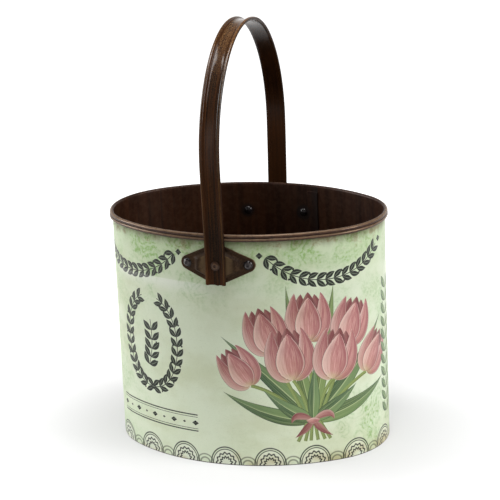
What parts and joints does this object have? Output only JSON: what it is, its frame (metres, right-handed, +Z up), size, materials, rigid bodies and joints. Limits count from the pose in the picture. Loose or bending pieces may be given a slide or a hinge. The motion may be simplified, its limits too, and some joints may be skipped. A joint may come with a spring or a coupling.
{
  "type": "florist bucket",
  "caption": "Oval tin flower bucket with straight printed walls, a rolled rim, and a hemmed strap handle that swings on riveted hinge plates.",
  "frame": {"origin": "on the floor under the middle of the bucket", "axes": "+X along the oval, +Y towards the back, +Z up"},
  "size_m": [0.2, 0.1562, 0.3009],
  "materials": {
    "lacquered_tin": "antique brown lacquer, satin, streaked",
    "print": "pale mint print under a satin varnish",
    "hinge_metal": "antique brown lacquer with worn edges",
    "rivet_metal": "dark brown lacquer, worn on the heads"
  },
  "bodies": {
    "bucket": {"wall": "lacquered_tin", "printed_wrap": "print", "base": "lacquered_tin", "front_plate": "hinge_metal", "back_plate": "hinge_metal", "front_left_rivet": "rivet_metal", "front_right_rivet": "rivet_metal", "back_left_rivet": "rivet_metal", "back_right_rivet": "rivet_metal", "front_pivot_rivet": "rivet_metal", "back_pivot_rivet": "rivet_metal"},
    "handle": {"handle": "hinge_metal"}
  },
  "joints": [
    {"name": "handle_swing", "type": "hinge", "parent": "bucket", "child": "handle", "pos_m": [0, 0, 0.1453], "axis": [0, 1, 0], "range_deg": [-136, 136]}
  ]
}
